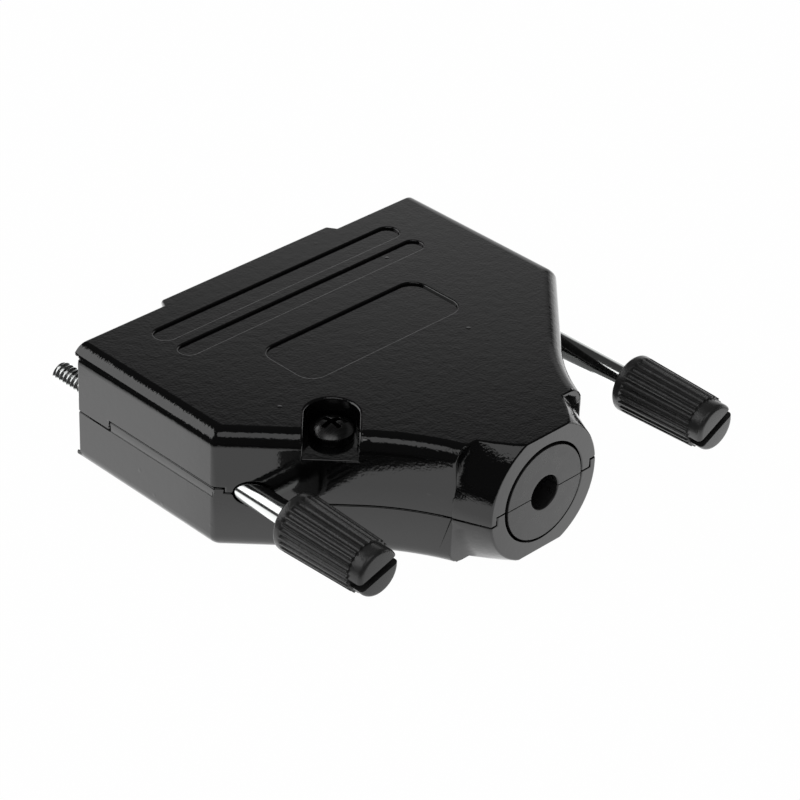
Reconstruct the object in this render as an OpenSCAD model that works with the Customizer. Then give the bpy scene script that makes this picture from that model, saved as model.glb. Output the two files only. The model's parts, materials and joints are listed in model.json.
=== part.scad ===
// Cable hood for a 25-way D-sub connector: two identical half shells that interlock along
// their side walls, two captive thumbscrews, a split cable bush and two assembly screws.
//
// Frame: the origin is on the cable axis, in the plane where the connector flange seats.
// +Y runs to the cable exit, +X across the width and +Z up through the thickness.
// The lower half shell is the upper one turned half a turn about the cable axis.

/* [Hood outline] */
// Width across the side walls
hood_w = 53.2; // [52.8:0.1:54]
// Thickness of the closed hood
hood_t = 15; // [14.8:0.1:15.4]
// Distance from the flange seat to where the side walls turn into the taper
side_len = 22.4; // [22:0.1:23]
// Angle between a taper wall and the cable axis
taper = 45; // [44:0.5:46]
// Half width of the hood where a taper wall runs into the flare
flare_x = 15.6; // [15.4:0.1:16]
// Radius of the hollow flare between taper and neck, seen from above
flare_r = 29; // [28:0.5:30]
// Angle between the end of the flare and the cable axis
flare_end = 25; // [24:0.5:26]
// Radius of the long outer edges
edge_r = 1.95; // [1.6:0.05:2.1]

/* [Neck and collar] */
// Radius of the neck at its root
neck_root_r = 10; // [9.8:0.05:10.1]
// Radius of the neck at the collar face
neck_tip_r = 8.15; // [8:0.05:8.4]
// Length of the neck
neck_len = 4.15; // [3.8:0.05:4.5]
// Radius of the round opening that holds the bush
collar_bore_r = 5.95; // [5.9:0.05:6]

/* [Walls] */
// Thickness of the top and bottom plates over the cavity
plate_t = 1.5; // [1.4:0.05:1.6]
// Thickness of the taper and flare walls
wall_t = 1.6; // [1.5:0.05:1.8]
// Width of the mouth that takes the back of the connector
mouth_w = 41.4; // [41:0.1:41.6]
// Depth of the cavity, from the flange seat to the neck wall
cavity_len = 35.6; // [35:0.1:36]

/* [Mating end] */
// Overhang of the plates past the flange seat
plate_lip = 0.9; // [0.8:0.05:1.1]
// Thickness of the plates where they overhang the flange
lip_plate_t = 1.2; // [1.1:0.05:1.3]
// Extra reach of the middle tab past the plate edge
tab_reach = 1.1; // [1:0.05:1.2]
// Width of the tab at its root
tab_root_w = 27; // [26:0.5:28]
// Width of the tab at its tip
tab_tip_w = 25.5; // [25:0.5:26]

/* [Outer recesses] */
// Depth of the grip grooves and of the label field
recess_depth = 0.3; // [0.2:0.05:0.4]
// Length of both grip grooves
groove_len = 37; // [36:0.5:38]
// Width of the groove next to the mating end
groove_front_w = 2.7; // [2.4:0.1:2.8]
// Width of the second groove
groove_rear_w = 2.4; // [2.2:0.1:2.6]
// Distance from the flange seat to the middle of the front groove
groove_front_y = 3.9; // [3.8:0.1:4.1]
// Distance from the flange seat to the middle of the rear groove
groove_rear_y = 8; // [7.8:0.1:8.2]
// Width of the label field
label_w = 23.8; // [23:0.2:25]
// Length of the label field along the cable axis
label_len = 8.3; // [8:0.1:8.6]
// Distance from the flange seat to the middle of the label field
label_y = 17.6; // [17.3:0.1:17.8]
// Corner radius of the label field
label_corner_r = 2; // [1.5:0.1:2.4]

/* [Interlocking edge] */
// Thickness of the lips that cover the joint
lip_t = 0.9; // [0.8:0.05:1]
// Height of the lip along the side wall
side_lip_h = 0.57; // [0.5:0.01:0.65]
// Height of the lip along taper, flare and neck
rear_lip_h = 1; // [0.8:0.05:1.1]
// Height of the solid step beside the flange seat
end_step_h = 0.5; // [0.4:0.05:0.6]
// Length of that step along the side wall
end_step_len = 5.3; // [5.1:0.1:5.5]
// Set-back of the side lip from the wall above it
lip_setback = 0.07; // [0.05:0.01:0.1]
// Gap between a lip and the recess it fills
seam_gap = 0.06; // [0.04:0.01:0.08]

/* [Thumbscrews] */
// Spacing of the two thumbscrews
screw_spacing = 47.04; // [47:0.02:47.1]
// Outer radius of the screw thread
thread_r = 1.42; // [1.41:0.01:1.44]
// Length of the threaded tip
thread_len = 6.7; // [6:0.1:6.8]
// Radius of the plain shank
shank_r = 1.4; // [1.36:0.01:1.4]
// Reach of the near screw's tip past the flange seat
tip_reach = 7; // [6.8:0.1:7.2]
// How far the far screw is drawn back from its front stop
far_draw = 5.3; // [4.9:0.1:5.6]
// Travel of a screw between its stops
screw_travel = 6; // [5.8:0.1:6]
// Distance from the flange seat to the near knob
knob_y = 32.05; // [31.8:0.05:32.3]
// Length of a knob
knob_len = 12.65; // [12.5:0.05:13]
// Ridge radius at the shank end of a knob
knob_r = 3.45; // [3.4:0.05:3.55]
// Ridge radius at the free end of a knob
knob_tip_r = 3.1; // [3.05:0.05:3.2]
// Number of flutes round a knob
flutes = 26; // [24:1:28]
// Radius of the hole through the taper wall
shank_hole_r = 1.55; // [1.52:0.01:1.65]
// Outer radius of the retaining ring
ring_r = 2.1; // [2:0.05:2.15]
// Thickness of the retaining ring
ring_t = 0.8; // [0.7:0.05:0.85]
// Angle of the screwdriver slot in the near knob
near_slot_turn = 17; // [0:1:180]
// Angle of the screwdriver slot in the far knob
far_slot_turn = 27; // [0:1:180]

/* [Assembly screws] */
// Distance of each assembly screw from the cable axis
boss_x = 14.4; // [14.2:0.1:14.6]
// Distance of each assembly screw from the flange seat
boss_y = 27.7; // [27.5:0.1:27.9]
// Width of the open pocket that holds the screw head
pocket_w = 5.9; // [5.7:0.1:6]
// Depth of that pocket
pocket_depth = 2.8; // [2.6:0.1:2.9]
// Radius of the screw thread
fastener_r = 1.25; // [1.2:0.01:1.3]
// Radius of the screw head
head_r = 2.5; // [2.4:0.05:2.6]
// Height of the screw head
head_h = 1.8; // [1.6:0.1:2]

/* [Cable bush] */
// Radius of the hole for the cable
cable_r = 2.05; // [1.9:0.05:2.5]
// Outer radius of the bush
bush_r = 5.7; // [5.65:0.05:5.75]
// Radius of the bush's locating flange
flange_r = 6.5; // [6.4:0.05:6.6]
// Width of the locating flange
flange_w = 1.8; // [1.6:0.1:2]

/* [Hidden] */
$fn = 64;

// Reach of cutting bodies past the faces they cut
over = 1;
// Where a straight side runs into an arc it stands this much inside it, so that the two cross
cross_slack = 0.005;
// Length over which the two then overlap
overlap = 0.2;
half_w = hood_w / 2;
half_t = hood_t / 2;
cavity_top = half_t - plate_t;
flange_top = half_t - lip_plate_t;

// The taper wall starts at the side corner and ends at (flare_x, flare_y), where it is
// tangent to the flare; the flare's centre lies outside the hood.
flare_y = side_len + (half_w - flare_x) / tan(taper);
flare_cx = flare_x + flare_r * cos(taper);
flare_cy = flare_y + flare_r * sin(taper);
neck_y = flare_cy - flare_r * sin(flare_end);
collar_y = neck_y + neck_len;
// Angle by which the flare's rim runs on past the neck, before it is cut off there
flare_overrun = 8;
// Length of the flat taper walls, and reach of the bodies that clear their outside
taper_run = (half_w - flare_x) / sin(taper);
clear_depth = 20;
// Depth of the flare's rounded rim, and of the full-height middle's edge, from the wall
rim_depth = 2 * edge_r + 0.3;
core_inset = edge_r + 0.1;
// Points on the line square to the taper wall where it runs into the flare
rim_x = flare_x - rim_depth * cos(taper);
rim_y = flare_y - rim_depth * sin(taper);
core_x = flare_x - core_inset * cos(taper);
core_edge_y = flare_y - core_inset * sin(taper);
split_x = flare_x + clear_depth * cos(taper);
split_y = flare_y + clear_depth * sin(taper);

// Thumbscrew axes and the pocket their rings travel in
screw_x = screw_spacing / 2;
ring_slack = 0.1;
ring_pocket_r = ring_r + 0.15;
ring_pocket_y = 2.2;
ring_pocket_len = screw_travel + ring_t + 2 * ring_slack;
ring_bore_r = 1.05;
groove_r = 1;
groove_w = ring_t + 0.1;
ring_y = ring_pocket_y + ring_slack;
ring_mouth_w = 1.9;
core_w = 3.2;
core_y = ring_pocket_y + ring_pocket_len + 1.6;
core_len = 8;
core_half_h = 5.5;

// Details of the thumbscrews
tip_chamfer = 0.45;
relief_len = 0.9;
relief_r = 1.15;
knob_hole_len = 9;
collar_len = 1;
collar_edge = 0.35;
flute_end = knob_len - 1.85;
flute_r = 0.3;
// The flutes' centres lie just outside the ridge cone, so each one is a little under half round
flute_start_rr = knob_r + 0.03;
flute_end_rr = knob_tip_r + 0.03;
flute_lean = atan((flute_start_rr - flute_end_rr) / (flute_end - collar_len));
end_r = 2.75;
end_edge_r = 0.5;
slot_w = 1.05;
slot_depth = 1.6;

// Details of the assembly screws and their bosses
boss_r = 3;
pocket_floor = half_t - pocket_depth;
pocket_skin = 1.2;
fastener_clear_r = fastener_r + 0.1;
pilot_r = fastener_r + 0.03;
fastener_end = -5.2;
pilot_end = -5.6;
head_crown_r = (head_r * head_r + head_h * head_h / 4) / head_h;
cross_w = 0.6;
cross_len = 2.6;
cross_depth = 1.1;

// Details of the bush
bush_face = collar_y + 0.1;
flange_y = cavity_len + 1.6;
bush_split = 0.02;
cable_chamfer = 0.1;

module along_y() {
  rotate([-90, 0, 0]) children();
}

// Turns a feature of the upper half into the same feature of the lower half
module turned() {
  rotate([0, 180, 0]) children();
}

module on_both_sides() {
  children();
  turned() children();
}

module mirrored_pair() {
  children();
  mirror([1, 0, 0]) children();
}

// Cross-section of the straight part, with its four long edges rounded
module body_section() {
  square([hood_w - 2 * edge_r, hood_t], center = true);
  square([hood_w, hood_t - 2 * edge_r], center = true);
  for (x = [-1, 1], z = [-1, 1])
    translate([x * (half_w - edge_r), z * (half_t - edge_r)]) circle(edge_r);
}

// Section of a wall whose outer face is at x = 0, with both outer edges rounded
module wall_section(depth) {
  translate([edge_r, -half_t]) square([depth - edge_r, hood_t]);
  translate([0, edge_r - half_t]) square([depth, hood_t - 2 * edge_r]);
  for (z = [-1, 1])
    translate([edge_r, z * (half_t - edge_r)]) circle(edge_r);
}

// Everything on the inner side of the taper wall on the +X side
module taper_slab() {
  translate([flare_x, flare_y, 0])
    rotate([90, 0, 180 + taper])
      translate([0, 0, -hood_w]) linear_extrude(2 * hood_w) wall_section(2 * hood_w);
}

// Front part of the hood, seen from above. It ends square to the taper walls, where they
// run into the flares.
module front_plan() {
  polygon([[-split_x, -half_w], [split_x, -half_w], [split_x, split_y],
           [rim_x, rim_y], [-rim_x, rim_y], [-split_x, split_y]]);
}

module front_blank() {
  intersection() {
    translate([0, flare_y, 0])
      rotate([90, 0, 0]) linear_extrude(flare_y + plate_lip) body_section();
    taper_slab();
    mirror([1, 0, 0]) taper_slab();
    linear_extrude(2 * hood_t, center = true) front_plan();
  }
}

// Rounded rim of the flare. It is placed by its start, so that it meets the taper wall exactly.
module flare_rim() {
  translate([flare_x, flare_y, 0])
    rotate([0, 0, 180 + taper])
      translate([-flare_r, 0, 0])
        mirror([0, 1, 0])
          rotate_extrude(angle = taper - flare_end + flare_overrun)
            translate([flare_r, 0]) wall_section(rim_depth);
}

// Full-height middle between the two flares, seen from above
module core_plan() {
  difference() {
    polygon([[-rim_x, rim_y], [rim_x, rim_y], [core_x, core_edge_y], [core_x, neck_y],
             [-core_x, neck_y], [-core_x, core_edge_y]]);
    translate([flare_cx, flare_cy]) circle(flare_r + core_inset);
    translate([-flare_cx, flare_cy]) circle(flare_r + core_inset);
  }
}

module rear_blank() {
  intersection() {
    union() {
      mirrored_pair() flare_rim();
      linear_extrude(hood_t, center = true) core_plan();
    }
    translate([-half_w, 0, -hood_t]) cube([hood_w, neck_y, 2 * hood_t]);
  }
}

module neck() {
  intersection() {
    translate([0, neck_y, 0])
      along_y() cylinder(h = neck_len, r1 = neck_root_r, r2 = neck_tip_r);
    translate([-half_w, 0, -half_t]) cube([hood_w, collar_y + over, hood_t]);
  }
  translate([0, cavity_len, 0])
    along_y() cylinder(h = collar_y - cavity_len, r = neck_tip_r - over);
}

// The closed hood's outer form, before anything is cut out of it
module blank() {
  front_blank();
  rear_blank();
  neck();
}

// Region outside a taper wall and flare that have been moved in by inset, seen from above
module outside_plan(inset) {
  translate([flare_cx, flare_cy]) {
    circle(flare_r + inset);
    rotate(180 + taper)
      translate([0, -overlap])
        square([flare_r + inset - cross_slack, taper_run + clear_depth + overlap]);
  }
}

module cavity_plan() {
  difference() {
    translate([-mouth_w / 2, -plate_lip - over])
      square([mouth_w, cavity_len + plate_lip + over]);
    outside_plan(wall_t);
    mirror([1, 0]) outside_plan(wall_t);
  }
}

// Outline of a head pocket, open through the taper wall
module pocket_plan(width) {
  translate([boss_x, boss_y]) {
    circle(d = width);
    rotate(taper)
      translate([0, cross_slack - width / 2]) square([clear_depth, width - 2 * cross_slack]);
  }
}

// Material left standing in the cavity round one assembly screw
module boss() {
  translate([boss_x, boss_y, -half_t]) cylinder(h = hood_t, r = boss_r);
  translate([0, 0, pocket_floor - pocket_skin])
    linear_extrude(hood_t) pocket_plan(pocket_w + 2 * pocket_skin);
}

module boss_holes() {
  translate([0, 0, pocket_floor]) linear_extrude(pocket_depth + over) pocket_plan(pocket_w);
  translate([boss_x, boss_y, 0]) {
    cylinder(h = half_t, r = fastener_clear_r);
    translate([0, 0, pilot_end]) cylinder(h = over - pilot_end, r = pilot_r);
  }
}

module cavity() {
  difference() {
    linear_extrude(2 * cavity_top, center = true) cavity_plan();
    on_both_sides() boss();
  }
}

// Passage for one thumbscrew, with the pocket its retaining ring travels in
module screw_channel() {
  translate([screw_x, -plate_lip - over, 0])
    along_y() cylinder(h = flare_y, r = shank_hole_r);
  translate([screw_x, ring_pocket_y, 0])
    along_y() cylinder(h = ring_pocket_len, r = ring_pocket_r);
  translate([screw_x - core_w / 2, core_y, -core_half_h])
    cube([core_w, core_len, 2 * core_half_h]);
}

// Seat for the bush and its flange in the neck
module bush_seat() {
  translate([0, cavity_len - over, 0])
    along_y() cylinder(h = collar_y - cavity_len + 2 * over, r = collar_bore_r);
  translate([0, flange_y, 0])
    along_y() cylinder(h = flange_w, r = flange_r + seam_gap);
}

// Space for the connector's flange between the overhanging plates
module flange_space() {
  translate([-hood_w, -plate_lip - over, -flange_top])
    cube([2 * hood_w, plate_lip + over, 2 * flange_top]);
}

module tab() {
  translate([0, 0, flange_top])
    linear_extrude(lip_plate_t)
      polygon([[-tab_root_w / 2, -plate_lip / 2], [-tab_root_w / 2, -plate_lip],
               [-tab_tip_w / 2, -plate_lip - tab_reach], [tab_tip_w / 2, -plate_lip - tab_reach],
               [tab_root_w / 2, -plate_lip], [tab_root_w / 2, -plate_lip / 2]]);
}

module groove_plan(width) {
  square([groove_len - width, width], center = true);
  for (x = [-1, 1])
    translate([x * (groove_len - width) / 2, 0]) circle(d = width);
}

module label_plan() {
  inner_w = label_w - 2 * label_corner_r;
  inner_len = label_len - 2 * label_corner_r;
  square([label_w, inner_len], center = true);
  square([inner_w, label_len], center = true);
  for (x = [-1, 1], y = [-1, 1])
    translate([x * inner_w / 2, y * inner_len / 2]) circle(label_corner_r);
}

module outer_recesses() {
  translate([0, 0, half_t - recess_depth])
    linear_extrude(recess_depth + over) {
      translate([0, groove_front_y]) groove_plan(groove_front_w);
      translate([0, groove_rear_y]) groove_plan(groove_rear_w);
      translate([0, label_y]) label_plan();
    }
}

// Strip along taper, flare and neck on the +X side, seen from above
module rear_strip_plan(width, margin) {
  difference() {
    intersection() {
      union() {
        outside_plan(width);
        polygon([[neck_root_r - width, neck_y - over], [neck_root_r - width, neck_y],
                 [neck_tip_r - width, collar_y], [half_w, collar_y], [half_w, neck_y - over]]);
      }
      translate([0, side_len]) square([half_w, collar_y + over - side_len]);
    }
    translate([screw_x - margin, 0]) square([half_w, collar_y]);
  }
}

// What the upper half reaches down with, past the middle plane, grown by gap all round
module lips(gap) {
  // Full-width step beside the flange seat, on the +X side
  translate([mouth_w / 2 - over, -over, -end_step_h - gap])
    cube([half_w, end_step_len + over + gap, end_step_h + gap]);
  // Lip over taper, flare and neck, on the +X side
  translate([0, 0, -rear_lip_h - gap])
    linear_extrude(rear_lip_h + gap) rear_strip_plan(lip_t + gap, gap);
  // Lip along the side wall, on the -X side
  translate([-half_w - over, end_step_len - gap, -side_lip_h - gap])
    cube([over + lip_t + gap, side_len + over - end_step_len + gap, side_lip_h + gap]);
}

// All the space that belongs to the upper half
module upper_zone() {
  difference() {
    union() {
      translate([-hood_w, -hood_w, 0]) cube([2 * hood_w, 3 * hood_w, hood_t]);
      lips(0);
    }
    turned() lips(seam_gap);
  }
}

// The side lip's outer face stands back a little from the wall
module lip_relief() {
  translate([-half_w - over, end_step_len, -side_lip_h - over])
    cube([over + lip_setback, side_len - end_step_len + over, side_lip_h + over + end_step_h]);
}

module hood_half() {
  difference() {
    intersection() {
      union() {
        difference() {
          blank();
          flange_space();
        }
        tab();
      }
      upper_zone();
    }
    cavity();
    outer_recesses();
    mirrored_pair() screw_channel();
    on_both_sides() boss_holes();
    bush_seat();
    lip_relief();
  }
}

module hood_upper() {
  color("dimgray") hood_half();
}

module hood_lower() {
  color("dimgray") turned() hood_half();
}

// The whole bush: a flanged sleeve with a chamfered hole for the cable
module bush() {
  difference() {
    union() {
      translate([0, cavity_len, 0])
        along_y() cylinder(h = bush_face - cavity_len, r = bush_r);
      translate([0, flange_y, 0]) along_y() cylinder(h = flange_w, r = flange_r);
    }
    translate([0, cavity_len - over, 0])
      along_y() cylinder(h = bush_face - cavity_len + 2 * over, r = cable_r);
    translate([0, bush_face - cable_chamfer, 0])
      along_y() cylinder(h = 2 * cable_chamfer, r1 = cable_r, r2 = cable_r + 2 * cable_chamfer);
  }
}

module bush_half() {
  intersection() {
    bush();
    translate([-half_t, 0, bush_split]) cube([hood_t, collar_y + over, half_t]);
  }
}

module bush_upper() {
  color("slategray") bush_half();
}

module bush_lower() {
  color("slategray") turned() bush_half();
}

module assembly_screw() {
  translate([boss_x, boss_y, 0]) difference() {
    union() {
      translate([0, 0, fastener_end])
        cylinder(h = pocket_floor - fastener_end, r = fastener_r);
      translate([0, 0, pocket_floor]) intersection() {
        cylinder(h = head_h, r = head_r);
        translate([0, 0, head_h - head_crown_r]) sphere(head_crown_r);
      }
    }
    translate([0, 0, pocket_floor + head_h]) {
      cube([cross_len, cross_w, 2 * cross_depth], center = true);
      cube([cross_w, cross_len, 2 * cross_depth], center = true);
    }
  }
}

module assembly_screw_near() {
  color("silver") assembly_screw();
}

module assembly_screw_far() {
  color("silver") turned() assembly_screw();
}

// Snap ring, open on one side so that it can be pushed into the shank's groove
module retaining_ring() {
  translate([screw_x, ring_y, 0]) along_y() difference() {
    cylinder(h = ring_t, r = ring_r);
    translate([0, 0, -over]) cylinder(h = ring_t + 2 * over, r = ring_bore_r);
    translate([-ring_mouth_w / 2, 0, -over]) cube([ring_mouth_w, ring_r + over, ring_t + 2 * over]);
  }
}

module retaining_ring_near() {
  color("lightgray") retaining_ring();
}

module retaining_ring_far() {
  color("lightgray") translate([0, far_draw, 0]) turned() retaining_ring();
}

// Space round a shank that has been turned down to the given radius
module turned_down(start, length, radius) {
  translate([0, 0, start]) difference() {
    cylinder(h = length, r = shank_r + over);
    translate([0, 0, -over]) cylinder(h = length + 2 * over, r = radius);
  }
}

// Steel shank with a threaded tip, a relief behind the thread and the retaining ring's groove
module shank() {
  translate([screw_x, 0, 0]) along_y() difference() {
    union() {
      translate([0, 0, -tip_reach])
        cylinder(h = tip_chamfer, r1 = thread_r - tip_chamfer, r2 = thread_r);
      translate([0, 0, tip_chamfer - tip_reach])
        cylinder(h = thread_len - tip_chamfer, r = thread_r);
      translate([0, 0, thread_len - tip_reach])
        cylinder(h = tip_reach - thread_len + knob_y + knob_hole_len, r = shank_r);
    }
    turned_down(thread_len - tip_reach, relief_len, relief_r);
    turned_down(ring_y - (groove_w - ring_t) / 2, groove_w, groove_r);
  }
}

module thumbscrew_shank_near() {
  color("gainsboro") shank();
}

module thumbscrew_shank_far() {
  color("gainsboro") translate([0, far_draw, 0]) turned() shank();
}

// Solid of revolution of a knob, before fluting; z = 0 is its shank end
module knob_blank() {
  cylinder(h = collar_edge, r1 = knob_r - collar_edge, r2 = knob_r);
  translate([0, 0, collar_edge])
    cylinder(h = flute_end - collar_edge, r1 = knob_r, r2 = knob_tip_r);
  rotate_extrude() {
    square([end_r, knob_len - end_edge_r]);
    square([end_r - end_edge_r, knob_len]);
    translate([end_r - end_edge_r, knob_len - end_edge_r]) circle(end_edge_r);
  }
}

module flute() {
  translate([flute_start_rr, 0, collar_len])
    rotate([0, -flute_lean, 0]) cylinder(h = knob_len, r = flute_r, $fn = 24);
}

module knob(slot_turn) {
  difference() {
    knob_blank();
    for (i = [0 : flutes - 1]) rotate([0, 0, i * 360 / flutes]) flute();
    translate([0, 0, -over]) cylinder(h = knob_hole_len + over, r = shank_r);
    rotate([0, 0, slot_turn])
      translate([-knob_r, -slot_w / 2, knob_len - slot_depth])
        cube([2 * knob_r, slot_w, slot_depth + over]);
  }
}

module thumbscrew_knob_near() {
  color("black") translate([screw_x, knob_y, 0]) along_y() knob(near_slot_turn);
}

module thumbscrew_knob_far() {
  color("black") translate([-screw_x, knob_y + far_draw, 0]) along_y() knob(far_slot_turn);
}

hood_upper();
hood_lower();
bush_upper();
bush_lower();
assembly_screw_near();
assembly_screw_far();
retaining_ring_near();
retaining_ring_far();
thumbscrew_shank_near();
thumbscrew_shank_far();
thumbscrew_knob_near();
thumbscrew_knob_far();
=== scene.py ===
"""Looks of the D-sub cable hood: lacquered half shells, fluted thumbscrews, bush and screws.

Lengths are written in millimetres and turned into metres by MM. The frame is the CAD's: the
origin on the cable axis in the connector's flange plane, +Y to the cable exit, +Z up.
"""

import json
import math

import bmesh
import bpy
from mathutils import Matrix, Vector


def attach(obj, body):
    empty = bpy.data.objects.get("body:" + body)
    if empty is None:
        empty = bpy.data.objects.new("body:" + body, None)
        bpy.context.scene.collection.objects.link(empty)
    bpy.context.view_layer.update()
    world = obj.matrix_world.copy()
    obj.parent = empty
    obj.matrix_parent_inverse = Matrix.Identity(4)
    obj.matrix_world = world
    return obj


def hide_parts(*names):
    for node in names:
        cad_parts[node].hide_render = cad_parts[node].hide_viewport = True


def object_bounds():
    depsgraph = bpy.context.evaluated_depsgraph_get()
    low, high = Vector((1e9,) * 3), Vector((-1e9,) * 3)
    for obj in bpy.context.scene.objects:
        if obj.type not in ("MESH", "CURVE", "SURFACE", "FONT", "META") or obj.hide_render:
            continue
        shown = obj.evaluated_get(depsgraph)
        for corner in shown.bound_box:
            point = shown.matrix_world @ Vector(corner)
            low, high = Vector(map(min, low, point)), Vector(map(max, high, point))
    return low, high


MM = 0.001
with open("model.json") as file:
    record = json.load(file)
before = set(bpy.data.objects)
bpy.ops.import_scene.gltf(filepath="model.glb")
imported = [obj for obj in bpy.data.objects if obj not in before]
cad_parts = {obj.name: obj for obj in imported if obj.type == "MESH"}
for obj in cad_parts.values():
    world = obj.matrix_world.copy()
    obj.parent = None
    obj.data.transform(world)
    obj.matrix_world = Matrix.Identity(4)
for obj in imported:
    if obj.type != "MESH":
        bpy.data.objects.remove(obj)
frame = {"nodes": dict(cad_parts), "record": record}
cad_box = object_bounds()


# ---------------------------------------------------------------- materials

def empty_material(name):
    """A node material with no nodes yet."""
    material = bpy.data.materials.new(name)
    material.use_nodes = True
    nodes, links = material.node_tree.nodes, material.node_tree.links
    nodes.clear()
    return material, nodes, links


def new_material(name):
    """An empty node material and its shader, already joined to the output."""
    material, nodes, links = empty_material(name)
    shader = nodes.new("ShaderNodeBsdfPrincipled")
    output = nodes.new("ShaderNodeOutputMaterial")
    links.new(shader.outputs["BSDF"], output.inputs["Surface"])
    return material, nodes, links, shader


def noise(nodes, links, coords, scale, detail, roughness=0.5):
    """The value of a noise texture. scale counts its patches in a metre."""
    texture = nodes.new("ShaderNodeTexNoise")
    texture.inputs["Scale"].default_value = scale
    texture.inputs["Detail"].default_value = detail
    texture.inputs["Roughness"].default_value = roughness
    links.new(coords, texture.inputs["Vector"])
    return texture.outputs["Fac"]


def ramp(nodes, links, value, low, high, out_low=0.0, out_high=1.0):
    """Maps value from low..high to out_low..out_high, clamped."""
    node = nodes.new("ShaderNodeMapRange")
    links.new(value, node.inputs["Value"])
    for socket, number in zip(("From Min", "From Max", "To Min", "To Max"),
                              (low, high, out_low, out_high)):
        node.inputs[socket].default_value = number
    return node.outputs["Result"]


def math_node(nodes, links, operation, a, b):
    """A math node. a and b are sockets or numbers."""
    node = nodes.new("ShaderNodeMath")
    node.operation = operation
    for i, value in enumerate((a, b)):
        if isinstance(value, (int, float)):
            node.inputs[i].default_value = value
        else:
            links.new(value, node.inputs[i])
    return node.outputs[0]


def new_group(name, inputs, output):
    """A shader group with float inputs (name: value) and one float output."""
    tree = bpy.data.node_groups.new(name, "ShaderNodeTree")
    for socket, value in inputs.items():
        made = tree.interface.new_socket(socket, in_out="INPUT", socket_type="NodeSocketFloat")
        made.default_value = value
    tree.interface.new_socket(output, in_out="OUTPUT", socket_type="NodeSocketFloat")
    source = tree.nodes.new("NodeGroupInput")
    sink = tree.nodes.new("NodeGroupOutput")
    return tree, source, sink


GRIT_PER_MM = 0.45
EDGE_COARSENESS = 3.0


def build_peel_group():
    """Moulded skin: long soft waves, a fine orange peel and a sparse grit, as one height. The
    two sizes are in millimetres."""
    tree, source, sink = new_group(
        "moulded_skin",
        {"Wave size": 0.9, "Peel size": 0.3, "Wave": 0.5, "Peel": 0.5, "Grit": 0.3}, "Height")
    nodes, links = tree.nodes, tree.links
    # the skin is coarser on the rounded edges than on the flat faces
    facing = nodes.new("ShaderNodeSeparateXYZ")
    links.new(nodes.new("ShaderNodeTexCoord").outputs["Normal"], facing.inputs[0])
    slope = math_node(nodes, links, "ABSOLUTE", facing.outputs["Z"], 0)
    rising = ramp(nodes, links, slope, 0.1, 0.4)
    falling = ramp(nodes, links, slope, 0.85, 0.97, 1.0, 0.0)
    coarse = math_node(nodes, links, "MULTIPLY", rising, falling)
    coarse = ramp(nodes, links, coarse, 0.0, 1.0, 1.0, EDGE_COARSENESS)
    coords = nodes.new("ShaderNodeTexCoord").outputs["Object"]
    total = None
    for size, weight, detail in (("Wave size", "Wave", 1.0), ("Peel size", "Peel", 2.0)):
        scale = math_node(nodes, links, "DIVIDE", 1 / MM, source.outputs[size])
        texture = nodes.new("ShaderNodeTexNoise")
        texture.inputs["Detail"].default_value = detail
        links.new(coords, texture.inputs["Vector"])
        links.new(scale, texture.inputs["Scale"])
        part = math_node(nodes, links, "MULTIPLY", texture.outputs["Fac"], source.outputs[weight])
        total = part if total is None else math_node(nodes, links, "ADD", total, part)
    cells = nodes.new("ShaderNodeTexVoronoi")
    cells.inputs["Scale"].default_value = GRIT_PER_MM / MM
    cells.inputs["Randomness"].default_value = 1.0
    links.new(coords, cells.inputs["Vector"])
    rarity = nodes.new("ShaderNodeSeparateColor")
    links.new(cells.outputs["Color"], rarity.inputs["Color"])
    dot = ramp(nodes, links, cells.outputs["Distance"], 0.06, 0.13, 1.0, 0.0)
    rare = ramp(nodes, links, rarity.outputs["Red"], 0.93, 0.97)
    grit = math_node(nodes, links, "MULTIPLY", dot, rare)
    bump = math_node(nodes, links, "MULTIPLY", grit, source.outputs["Grit"])
    total = math_node(nodes, links, "ADD", total, bump)
    total = math_node(nodes, links, "MULTIPLY", total, coarse)
    links.new(total, sink.inputs["Height"])
    return tree


PEEL = build_peel_group()


def add_skin(nodes, links, shader, values, height):
    """Puts the moulded skin on a shader's normal."""
    skin = nodes.new("ShaderNodeGroup")
    skin.node_tree = PEEL
    for socket, value in values.items():
        skin.inputs[socket].default_value = value
    bump = nodes.new("ShaderNodeBump")
    bump.inputs["Strength"].default_value = 1.0
    bump.inputs["Distance"].default_value = height
    links.new(skin.outputs["Height"], bump.inputs["Height"])
    links.new(bump.outputs["Normal"], shader.inputs["Normal"])


def lacquer_black():
    """The shells' glossy black moulding."""
    material, nodes, links, shader = new_material("gloss_black")
    coords = nodes.new("ShaderNodeTexCoord").outputs["Object"]
    shader.inputs["Base Color"].default_value = (0.0025, 0.0025, 0.0027, 1)
    shader.inputs["IOR"].default_value = 1.72
    cloud = noise(nodes, links, coords, 0.35 / MM, 3.0)
    links.new(ramp(nodes, links, cloud, 0.35, 0.7, 0.05, 0.09), shader.inputs["Roughness"])
    add_skin(nodes, links, shader, {"Wave size": 1.1, "Peel size": 0.3, "Wave": 0.5, "Peel": 0.5,
                                    "Grit": 1.2}, 0.016 * MM)
    return material


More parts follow.
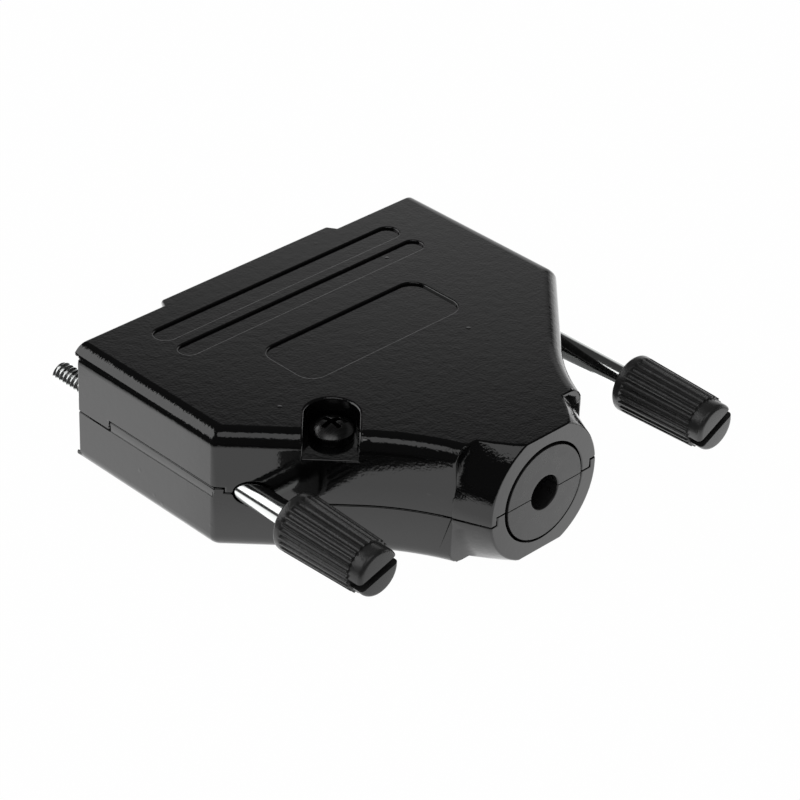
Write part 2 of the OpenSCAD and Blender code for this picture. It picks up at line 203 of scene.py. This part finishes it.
def satin_black(name, level, roughness):
    """Duller black moulding, a little cloudy. level is its mean grey."""
    material, nodes, links, shader = new_material(name)
    coords = nodes.new("ShaderNodeTexCoord").outputs["Object"]
    shader.inputs["IOR"].default_value = 1.6
    cloud = noise(nodes, links, coords, 0.8 / MM, 4.0, 0.6)
    mix = nodes.new("ShaderNodeMix")
    mix.data_type = "RGBA"
    first_colour, second_colour, mixed_colour = 6, 7, 2
    mix.inputs[first_colour].default_value = (*[level * 0.7] * 3, 1)
    mix.inputs[second_colour].default_value = (*[level * 1.4] * 3, 1)
    links.new(cloud, mix.inputs["Factor"])
    links.new(mix.outputs[mixed_colour], shader.inputs["Base Color"])
    links.new(ramp(nodes, links, cloud, 0.3, 0.7, roughness - 0.05, roughness + 0.06),
              shader.inputs["Roughness"])
    add_skin(nodes, links, shader, {"Wave size": 0.8, "Peel size": 0.12, "Wave": 0.3,
                                    "Peel": 0.8, "Grit": 0.5}, 0.012 * MM)
    return material


def plated(name, colour, roughness, streak):
    """Plated metal with fine turning marks round the Y direction."""
    material, nodes, links, shader = new_material(name)
    coords = nodes.new("ShaderNodeTexCoord").outputs["Object"]
    shader.inputs["Base Color"].default_value = (*colour, 1)
    shader.inputs["Metallic"].default_value = 1.0
    stretch = nodes.new("ShaderNodeMapping")
    stretch.inputs["Scale"].default_value = (0.15, 1, 0.15)
    links.new(coords, stretch.inputs["Vector"])
    marks = noise(nodes, links, stretch.outputs["Vector"], 6 / MM, 3.0, 0.6)
    links.new(ramp(nodes, links, marks, 0.3, 0.7, roughness, roughness + streak),
              shader.inputs["Roughness"])
    bump = nodes.new("ShaderNodeBump")
    bump.inputs["Strength"].default_value = 0.15
    bump.inputs["Distance"].default_value = 0.004 * MM
    links.new(marks, bump.inputs["Height"])
    links.new(bump.outputs["Normal"], shader.inputs["Normal"])
    return material


GLOSS = lacquer_black()
BUSH = satin_black("bush_black", 0.02, 0.3)
KNOB = satin_black("knob_black", 0.03, 0.24)
NICKEL = plated("bright_nickel", (0.9, 0.92, 0.91), 0.08, 0.1)
ZINC = plated("zinc_plate", (0.11, 0.11, 0.11), 0.2, 0.15)

FINISH = {"hood": GLOSS, "bush": BUSH, "knob": KNOB, "nickel": NICKEL,
          "zinc_screw": ZINC, "spring_steel": ZINC}
for part in frame["record"]["subparts"]:
    mesh = frame["nodes"][part["node"]].data
    mesh.materials.clear()
    mesh.materials.append(FINISH[part["material_slot"]])


# ---------------------------------------------------------------- pieces

# half the spacing of the thumbscrews' axes, and how far the far one is drawn back at rest
SCREW_X = 23.52 * MM
FAR_DRAW = 5.3 * MM
# the shells: the corner between side and taper wall, which reaches in as far as the long edges
# are round, the underside of the overhanging plates, and the head pocket with its rim
CORNER, CORNER_REACH = Vector((26.6, 22.4)) * MM, 2.1 * MM
PLATES_UNDERSIDE = 6.3 * MM
POCKET, POCKET_REACH, RIM_LEVEL = Vector((14.4, 27.7)) * MM, 5.5 * MM, 4.5 * MM
# a vertex this near to a line or past a plane counts as being on it
LINE_SLACK, SLACK = 0.03 * MM, 0.05 * MM
# radii of the softened edges, the angle above which an edge is sharp, and the distance within
# which two vertices are one
SHELL_EDGE_R, SMALL_EDGE_R = 0.2 * MM, 0.07 * MM
SHARP, SCREW_SHARP = 28, 35
MERGE, SCREW_MERGE = 0.02 * MM, 0.01 * MM


def new_object(name, form, material):
    """Makes an object of a bmesh and puts it in the scene."""
    mesh = bpy.data.meshes.new(name)
    form.to_mesh(mesh)
    form.free()
    mesh.materials.append(material)
    made = bpy.data.objects.new(name, mesh)
    bpy.context.scene.collection.objects.link(made)
    return made


def smooth(piece, sharp_angle):
    """Smooth shading, apart from the edges that are sharper than sharp_angle degrees."""
    piece.data.shade_smooth()
    piece.data.set_sharp_from_angle(angle=math.radians(sharp_angle))


def new_piece(name, form, material, replaced, body, sharp_angle=30):
    """Makes an object of a bmesh, in the place of a solid and with its body and slot."""
    piece = new_object(name, form, material)
    smooth(piece, sharp_angle)
    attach(piece, body)
    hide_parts(replaced)
    return piece


def bake_modifiers(piece):
    """Turns a piece with its modifiers into a plain mesh."""
    graph = bpy.context.evaluated_depsgraph_get()
    mesh = bpy.data.meshes.new_from_object(piece.evaluated_get(graph))
    piece.modifiers.clear()
    piece.data = mesh


def weigh_normals(piece):
    """Keeps large faces flat beside small rounded edges, above all those that face up or
    down."""
    weigh = piece.modifiers.new("weigh", "WEIGHTED_NORMAL")
    weigh.mode = "FACE_AREA"
    weigh.weight = 100
    weigh.keep_sharp = True
    bake_modifiers(piece)
    mesh = piece.data
    level = 0.9999
    normals = [Vector(normal.vector) for normal in mesh.corner_normals]
    for face in mesh.polygons:
        if abs(face.normal.z) > level:
            for corner in face.loop_indices:
                normals[corner] = face.normal.copy()
    mesh.normals_split_custom_set(normals)


def round_edges(form, width, least_angle, segments, here=None):
    """Rounds the outer edges that are sharper than least_angle degrees. here picks them by
    their vertices."""
    chosen = [edge for edge in form.edges if edge.is_convex
              and (here is None or all(here(vert) for vert in edge.verts))
              and edge.calc_face_angle(0) > math.radians(least_angle)]
    bmesh.ops.bevel(form, geom=chosen, offset=width, offset_type="OFFSET", segments=segments,
                    profile=0.5, affect="EDGES", clamp_overlap=False)


def soften(node, width, least_angle, merge, first=None):
    """A copy of a solid's mesh with its sharp outer edges rounded. Vertices nearer than merge
    become one, and first may round some edges more."""
    form = bmesh.new()
    form.from_mesh(frame["nodes"][node].data)
    bmesh.ops.remove_doubles(form, verts=form.verts, dist=merge)
    bmesh.ops.dissolve_degenerate(form, edges=form.edges, dist=merge)
    flat = math.radians(0.2)
    bmesh.ops.dissolve_limit(form, angle_limit=flat, verts=form.verts, edges=form.edges)
    if first:
        first(form)
    round_edges(form, width, least_angle, 3)
    return form


def soften_corners(form):
    """Rounds the upright corners between side and taper walls, the plates' front edges and the
    rims of the head pockets more than the rest."""
    lean = math.radians(22.5)

    def on_corner(vert):
        x, y = abs(vert.co.x) - CORNER.x, vert.co.y - CORNER.y
        off_line = abs(x * math.sin(lean) - y * math.cos(lean))
        return off_line < LINE_SLACK and x > -CORNER_REACH

    def on_front(vert):
        return vert.co.y < SLACK and abs(vert.co.z) > PLATES_UNDERSIDE - SLACK

    def on_pocket(vert):
        away = Vector((abs(vert.co.x), vert.co.y)) - POCKET
        return away.length < POCKET_REACH and abs(vert.co.z) > RIM_LEVEL

    for here, least_angle, width in ((on_corner, 3, 0.45), (on_front, SHARP, 0.35),
                                     (on_pocket, SHARP, 0.32)):
        round_edges(form, width * MM, least_angle, 4, here)


def turned_form(rows, segments, radius, centre_x, start_y, half_turn):
    """A closed solid round an axis along Y. rows are distances from start_y, and radius gives
    the radius at an angle and a distance. half_turn turns it half a turn about its axis."""
    form = bmesh.new()
    sign = -1 if half_turn else 1
    rings = []
    for along in rows:
        ring = []
        for i in range(segments):
            angle = 2 * math.pi * i / segments
            r = radius(angle, along)
            ring.append(form.verts.new((centre_x + sign * r * math.cos(angle), start_y + along,
                                        -sign * r * math.sin(angle))))
        rings.append(ring)
    for low, high in zip(rings, rings[1:]):
        for i in range(segments):
            j = (i + 1) % segments
            form.faces.new((low[i], low[j], high[j], high[i]))
    for ring, step in ((rings[0], -1), (rings[-1], 1)):
        middle = form.verts.new((centre_x, ring[0].co.y, 0))
        for i in range(segments):
            j = (i + 1) % segments
            form.faces.new((ring[i], ring[j], middle) if step > 0 else (ring[j], ring[i], middle))
    bmesh.ops.recalc_face_normals(form, faces=form.faces)
    return form


# a step in a turned form is a row of this length
SLIVER = 0.001 * MM

KNOB_Y = 32.05 * MM
KNOB_LEN = 12.65 * MM
FLUTES, FLUTE_DEPTH, FLUTE_RUN_IN = 26, 0.25 * MM, 0.22 * MM
SEGMENTS_PER_FLUTE = 12
# share of the spacing of the flutes
FLUTE_HALF_WIDTH = 0.39
FLUTE_START, FLUTE_END = 1.0 * MM, 10.8 * MM
KNOB_R, KNOB_TIP_R = 3.45 * MM, 3.1 * MM
END_R, END_EDGE_R = 2.78 * MM, 0.5 * MM
COLLAR_EDGE_R = 0.35 * MM
KNOB_SHARP = 35
SLOT_WIDTH, SLOT_DEPTH = 1.05 * MM, 1.7 * MM


def knob_radius(angle, along):
    """Ridges with round flutes between them, a plain collar and an end with a rounded edge."""
    if along < COLLAR_EDGE_R:
        drop = COLLAR_EDGE_R - math.sqrt(max(0, COLLAR_EDGE_R**2 - (COLLAR_EDGE_R - along)**2))
        return KNOB_R - drop
    if along > FLUTE_END:
        into = max(0, along - (KNOB_LEN - END_EDGE_R))
        return END_R - END_EDGE_R + math.sqrt(max(0, END_EDGE_R**2 - into**2))
    ridge = KNOB_R + (KNOB_TIP_R - KNOB_R) * along / FLUTE_END
    depth = FLUTE_DEPTH * min(1, max(0, (along - FLUTE_START) / FLUTE_RUN_IN))
    across = abs((angle * FLUTES / (2 * math.pi)) % 1 - 0.5) / FLUTE_HALF_WIDTH
    hollow = math.sqrt(max(0, 1 - across**2)) if across < 1 else 0
    return ridge - depth * hollow


def add_knob(side, centre_x, start_y, slot_turn, half_turn):
    """A knob of a thumbscrew, turned with its flutes, and then slotted at slot_turn degrees."""
    # rows stand close together at the collar's edge and where the flutes run in
    rows = [0, 0.03, 0.09, 0.2, 0.35, 0.7, 0.98, 1.02, 1.08, 1.15, 1.23, 2.5, 4, 5.5, 7, 8.5, 10]
    rows = [value * MM for value in rows] + [FLUTE_END, FLUTE_END + SLIVER, 11.3 * MM]
    rows += [KNOB_LEN - END_EDGE_R * (1 - math.sin(math.radians(a))) for a in range(0, 91, 15)]
    form = turned_form(rows, FLUTES * SEGMENTS_PER_FLUTE, knob_radius, centre_x, start_y,
                       half_turn)
    knob = new_piece("fluted_knob_" + side, form, KNOB, "thumbscrew_knob_" + side,
                     "thumbscrew_" + side, KNOB_SHARP)
    # the slot is cut right across the end
    cutter = bpy.data.meshes.new("slot_cutter")
    form = bmesh.new()
    bmesh.ops.create_cube(form, size=1)
    past_the_knob = 8 * MM
    bmesh.ops.scale(form, vec=(past_the_knob, 2 * SLOT_DEPTH, SLOT_WIDTH), verts=form.verts)
    form.transform(Matrix.Translation((centre_x, start_y + KNOB_LEN, 0))
                   @ Matrix.Rotation(math.radians(slot_turn), 4, "Y"))
    form.to_mesh(cutter)
    form.free()
    blade = bpy.data.objects.new("slot_cutter", cutter)
    bpy.context.scene.collection.objects.link(blade)
    cut = knob.modifiers.new("slot", "BOOLEAN")
    cut.solver = "EXACT"
    cut.object = blade
    bake_modifiers(knob)
    bpy.data.objects.remove(blade)
    smooth(knob, KNOB_SHARP)


# the shank's lengths are counted from its tip
TIP_Y = -7 * MM
THREAD_LEN, THREAD_R, THREAD_PITCH = 6.7 * MM, 1.42 * MM, 0.635 * MM
THREAD_DEPTH, TIP_CHAMFER = 0.24 * MM, 0.45 * MM
# shares of half a pitch
CREST_SHARE, FLANK_SHARE = 0.12, 0.7
RELIEF_END, RELIEF_R = 7.6 * MM, 1.15 * MM
GROOVE_START, GROOVE_END, GROOVE_R = 9.25 * MM, 10.15 * MM, 1.0 * MM
SHANK_R, SHANK_END = 1.4 * MM, 47.5 * MM
ROWS_PER_TURN, SHANK_SEGMENTS = 12, 64
SHANK_SHARP = 40


def shank_radius(angle, along):
    """The threaded tip, its relief, the plain shank and the retaining ring's groove."""
    if along > RELIEF_END:
        return GROOVE_R if GROOVE_START < along < GROOVE_END else SHANK_R
    if along > THREAD_LEN:
        return RELIEF_R
    turn = (along / THREAD_PITCH - angle / (2 * math.pi)) % 1
    down_flank = (abs(2 * turn - 1) - CREST_SHARE) / FLANK_SHARE
    depth = min(1, max(0, down_flank)) * THREAD_DEPTH
    return min(THREAD_R - depth, THREAD_R - TIP_CHAMFER + along)


def add_shank(side, centre_x, shift, half_turn):
    """A thumbscrew's shank with its threaded tip, drawn back by shift."""
    count = round(THREAD_LEN / THREAD_PITCH * ROWS_PER_TURN)
    rows = [THREAD_LEN * i / count for i in range(count + 1)]
    for edge in (THREAD_LEN, RELIEF_END, GROOVE_START, GROOVE_END):
        rows += [edge + SLIVER, edge + 2 * SLIVER]
    rows += [RELIEF_END + 1 * MM, 25 * MM, SHANK_END]
    form = turned_form(sorted(rows), SHANK_SEGMENTS, shank_radius, centre_x, TIP_Y + shift,
                       half_turn)
    new_piece("threaded_shank_" + side, form, NICKEL, "thumbscrew_shank_" + side,
              "thumbscrew_" + side, SHANK_SHARP)


for half in ("upper", "lower"):
    shell = soften("hood_" + half, SHELL_EDGE_R, SHARP, MERGE, soften_corners)
    weigh_normals(new_piece("lacquered_shell_" + half, shell, GLOSS, "hood_" + half, "hood"))
    bush = soften("bush_" + half, SMALL_EDGE_R, SHARP, MERGE)
    weigh_normals(new_piece("split_bush_" + half, bush, BUSH, "bush_" + half, "hood"))
for side in ("near", "far"):
    screw = soften("assembly_screw_" + side, SMALL_EDGE_R, SCREW_SHARP, SCREW_MERGE)
    weigh_normals(new_piece("cross_head_screw_" + side, screw, ZINC, "assembly_screw_" + side,
                            "hood"))
add_knob("near", SCREW_X, KNOB_Y, 17, False)
add_knob("far", -SCREW_X, KNOB_Y + FAR_DRAW, 27, False)
add_shank("near", SCREW_X, 0, False)
add_shank("far", -SCREW_X, FAR_DRAW, True)


# ---------------------------------------------------------------- studio

# where the camera stands, and the azimuths ahead of and behind the hood as it sees it
CAMERA_AZIMUTH, CAMERA_ELEVATION, CAMERA_ROLL = 134.085, 32.773, 2.471
AHEAD, BEHIND = 136, -46


def direction(azimuth, elevation):
    """A unit vector, azimuth from -Y towards +X and elevation towards +Z."""
    a, e = math.radians(azimuth), math.radians(elevation)
    return Vector((math.sin(a) * math.cos(e), -math.cos(a) * math.cos(e), math.sin(e)))


def add_camera():
    """The view from behind and above the near thumbscrew, slightly rolled."""
    distance, aside, above = 346.42, -16.687, 8.786
    toward = direction(CAMERA_AZIMUTH, CAMERA_ELEVATION)
    right = Vector((0, 0, 1)).cross(toward).normalized()
    up = toward.cross(right)
    roll = math.radians(CAMERA_ROLL)
    c, s = math.cos(roll), math.sin(roll)
    right, up = right * c + up * s, up * c - right * s
    camera = bpy.data.cameras.new("camera")
    camera.lens, camera.sensor_width = 134.31, 36
    camera.clip_start, camera.clip_end = 0.01, 10
    holder = bpy.data.objects.new("camera", camera)
    holder.matrix_world = Matrix((
        (right.x, up.x, toward.x, 0), (right.y, up.y, toward.y, 0),
        (right.z, up.z, toward.z, 0), (0, 0, 0, 1)))
    holder.location = (toward * distance - right * aside - up * above) * MM
    bpy.context.scene.collection.objects.link(holder)
    bpy.context.scene.camera = holder


def softbox(name, azimuth, elevation, width, height, radiance):
    """A rectangular lamp that looks at the hood. Its face shines with the given radiance."""
    distance, hood_middle = 600, Vector((0, 20, 0))
    lamp = bpy.data.lights.new(name, "AREA")
    lamp.shape = "RECTANGLE"
    lamp.size, lamp.size_y = width * MM, height * MM
    lamp.energy = radiance * math.pi * lamp.size * lamp.size_y
    holder = bpy.data.objects.new(name, lamp)
    away = direction(azimuth, elevation)
    holder.location = (away * distance + hood_middle) * MM
    holder.rotation_euler = away.to_track_quat("Z", "Y").to_euler()
    holder.visible_camera = False
    bpy.context.scene.collection.objects.link(holder)


def seen_white(nodes, links):
    """1 for the rays that see the white background: camera, glossy and transmission rays."""
    path = nodes.new("ShaderNodeLightPath")
    seen = math_node(nodes, links, "MAXIMUM", path.outputs["Is Camera Ray"],
                     path.outputs["Is Glossy Ray"])
    return math_node(nodes, links, "MAXIMUM", seen, path.outputs["Is Transmission Ray"])


def reach(nodes, links, vector, toward):
    """How far a vector reaches in a direction."""
    node = nodes.new("ShaderNodeVectorMath")
    node.operation = "DOT_PRODUCT"
    node.inputs[1].default_value = toward
    links.new(vector, node.inputs[0])
    return node.outputs["Value"]


def glow(nodes, links, strength):
    """White light of a strength that a socket gives."""
    node = nodes.new("ShaderNodeEmission")
    links.new(strength, node.inputs["Strength"])
    return node.outputs[0]


def add_world():
    """White for camera, gloss and transmission, and a dim light for the rest."""
    world = bpy.data.worlds.new("studio")
    bpy.context.scene.world = world
    world.use_nodes = True
    nodes, links = world.node_tree.nodes, world.node_tree.links
    nodes.clear()
    ambient = nodes.new("ShaderNodeBackground")
    ambient.inputs["Strength"].default_value = 0.35
    white = nodes.new("ShaderNodeBackground")
    white.inputs["Strength"].default_value = 1.0
    mix = nodes.new("ShaderNodeMixShader")
    output = nodes.new("ShaderNodeOutputWorld")
    links.new(seen_white(nodes, links), mix.inputs[0])
    links.new(ambient.outputs[0], mix.inputs[1])
    links.new(white.outputs[0], mix.inputs[2])
    links.new(mix.outputs[0], output.inputs["Surface"])


def add_floor(level):
    """Pale table. The camera sees it white; gloss sees a painted reflection, a glow shaped by
    place. Both keep a trace of the hood's shadow.
    """
    material, nodes, links = empty_material("pale_table")
    paint = nodes.new("ShaderNodeBsdfDiffuse")
    paint.inputs["Color"].default_value = (0.9, 0.9, 0.9, 1)
    path = nodes.new("ShaderNodeLightPath")
    coords = nodes.new("ShaderNodeTexCoord").outputs["Object"]
    span = nodes.new("ShaderNodeVectorMath")
    span.operation = "LENGTH"
    links.new(coords, span.inputs[0])
    # painted reflection: for gloss alone the table glows as a sheet under the hood, which fades
    # out into the dark of the studio
    lit = ramp(nodes, links, span.outputs["Value"], 52 * MM, 78 * MM, 1.0, 0.03)
    # behind the hood the painted reflection sheet runs on
    behind = reach(nodes, links, coords, direction(BEHIND, 0))
    lit = math_node(nodes, links, "MAXIMUM", lit,
                    ramp(nodes, links, behind, 10 * MM, 50 * MM))
    # painted reflection: the glow that gloss sees is dimmer in front of the taper wall
    ahead = reach(nodes, links, coords, direction(AHEAD, 0))
    painted_reflection_scale = ramp(nodes, links, ahead, 14 * MM, 32 * MM, 1.3, 0.8)
    lit = math_node(nodes, links, "MULTIPLY", lit, painted_reflection_scale)
    for_gloss = math_node(nodes, links, "MULTIPLY", lit, path.outputs["Is Glossy Ray"])
    white = math_node(nodes, links, "MAXIMUM", path.outputs["Is Camera Ray"], for_gloss)
    mix = nodes.new("ShaderNodeMixShader")
    output = nodes.new("ShaderNodeOutputMaterial")
    share = math_node(nodes, links, "MULTIPLY", seen_white(nodes, links), 0.99)
    links.new(share, mix.inputs[0])
    links.new(paint.outputs[0], mix.inputs[1])
    links.new(glow(nodes, links, white), mix.inputs[2])
    links.new(mix.outputs[0], output.inputs["Surface"])
    form = bmesh.new()
    bmesh.ops.create_circle(form, cap_ends=True, segments=96, radius=4)
    table = new_object("table", form, material)
    table.location = (0, 22 * MM, level)


def add_surround():
    """A dome round the set, which only gloss sees: a painted reflection that glows, dark but
    lighter behind the hood.
    """
    material, nodes, links = empty_material("painted_reflection_dome")
    unit = nodes.new("ShaderNodeVectorMath")
    unit.operation = "NORMALIZE"
    links.new(nodes.new("ShaderNodeTexCoord").outputs["Object"], unit.inputs[0])
    # painted reflection: a bright glow centred behind the hood, a little above the table
    behind = reach(nodes, links, unit.outputs[0], direction(BEHIND, 8))
    painted_glow = ramp(nodes, links, behind, 0.884, 0.9994, 0.035, 0.9)
    # painted reflection of a pale sweep, glowing low behind the hood
    height = nodes.new("ShaderNodeSeparateXYZ")
    links.new(unit.outputs[0], height.inputs[0])
    low = ramp(nodes, links, height.outputs["Z"], 0.15, 0.38, 0.8, 0.0)
    painted_sweep_glow = math_node(nodes, links, "MULTIPLY", low, ramp(nodes, links, behind, 0.1, 0.5))
    painted_glow = math_node(nodes, links, "MAXIMUM", painted_glow, painted_sweep_glow)
    output = nodes.new("ShaderNodeOutputMaterial")
    links.new(glow(nodes, links, painted_glow), output.inputs["Surface"])
    form = bmesh.new()
    bmesh.ops.create_uvsphere(form, u_segments=48, v_segments=24, radius=3)
    glow_dome = new_object("surround", form, material)
    for ray in ("camera", "diffuse", "transmission", "volume_scatter", "shadow"):
        setattr(glow_dome, "visible_" + ray, False)


add_camera()
add_world()
add_floor(cad_box[0].z)
add_surround()
softbox("side_softbox", 30, 31, 620, 400, 1.3)
softbox("top_softbox", 125, 66, 420, 330, 0.75)
bpy.context.scene.view_settings.view_transform = "Standard"
